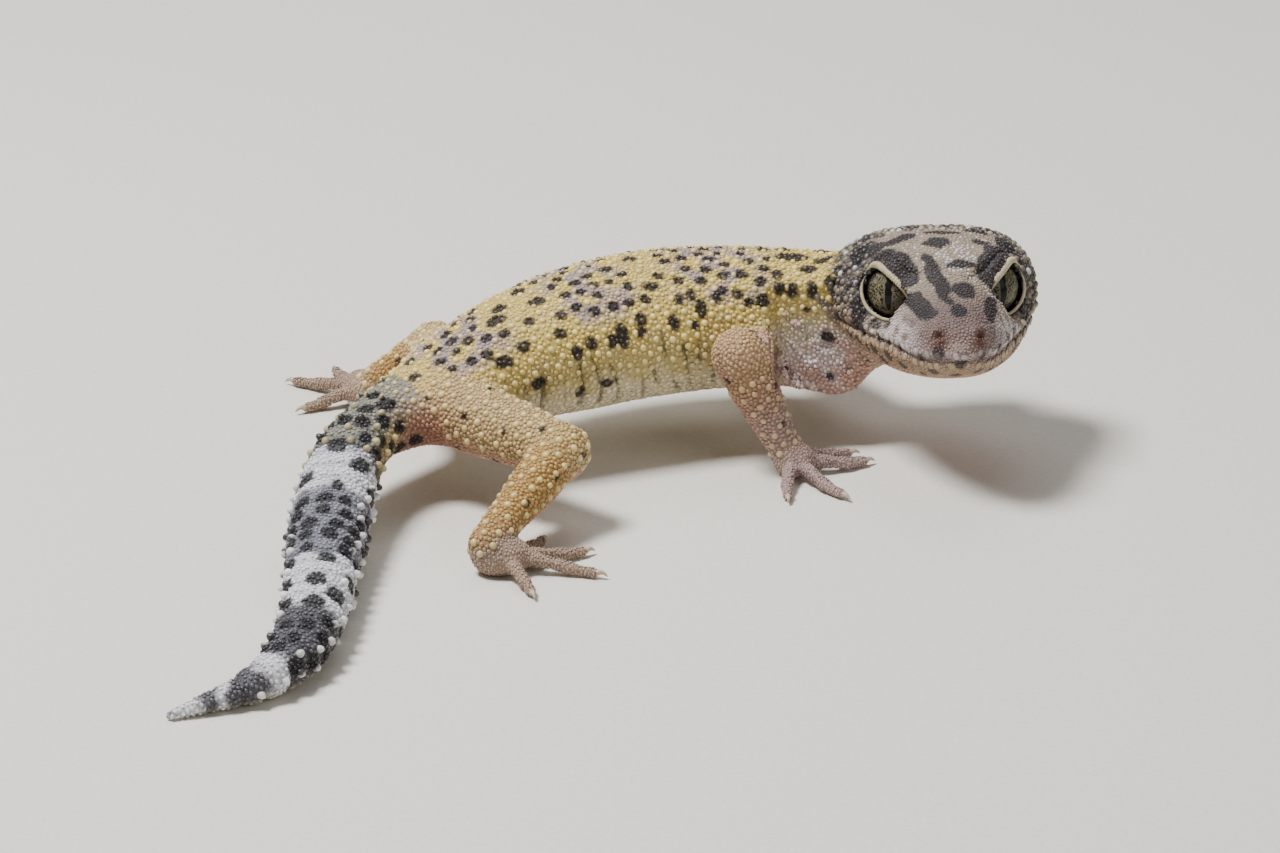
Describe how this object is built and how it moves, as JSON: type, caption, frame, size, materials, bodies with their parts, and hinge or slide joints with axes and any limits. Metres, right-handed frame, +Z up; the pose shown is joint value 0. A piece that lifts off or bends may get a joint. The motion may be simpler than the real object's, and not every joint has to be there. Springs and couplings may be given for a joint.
{
  "type": "leopard gecko model",
  "caption": "Life-size still model of a leopard gecko standing on four spread feet, tail curved on the floor and head turned toward its right.",
  "frame": {"origin": "centre of the bottom of the bounding box, on the floor the feet and tail rest on", "axes": "+Z up; the trunk walks roughly toward +X, so the animal's right side is toward -Y; the head is turned to face -Y and the tail trails toward -Y"},
  "size_m": [0.087, 0.1082, 0.0243],
  "materials": {
    "head_skin": "matt scaly skin, pale grey-lilac with dark violet-brown blotches",
    "body_skin": "matt scaly skin, straw yellow with dark spots and a white belly",
    "tail_skin": "matt scaly skin, banded pale and dark grey",
    "limb_skin": "matt scaly skin, orange-brown with cream scales, pinkish feet",
    "eye": "wet gloss, olive-grey iris with a dark upright slit pupil"
  },
  "bodies": {
    "root": {"eye_left": "eye", "eye_right": "eye", "head": "head_skin", "left_foot": "limb_skin", "left_forearm": "limb_skin", "left_hand": "limb_skin", "left_shank": "limb_skin", "left_thigh": "limb_skin", "left_upper_arm": "limb_skin", "lower_jaw": "head_skin", "neck": "body_skin", "right_foot": "limb_skin", "right_forearm": "limb_skin", "right_hand": "limb_skin", "right_shank": "limb_skin", "right_thigh": "limb_skin", "right_upper_arm": "limb_skin", "tail_base": "tail_skin", "tail_middle": "tail_skin", "tail_tip": "tail_skin", "trunk": "body_skin"}
  },
  "joints": []
}
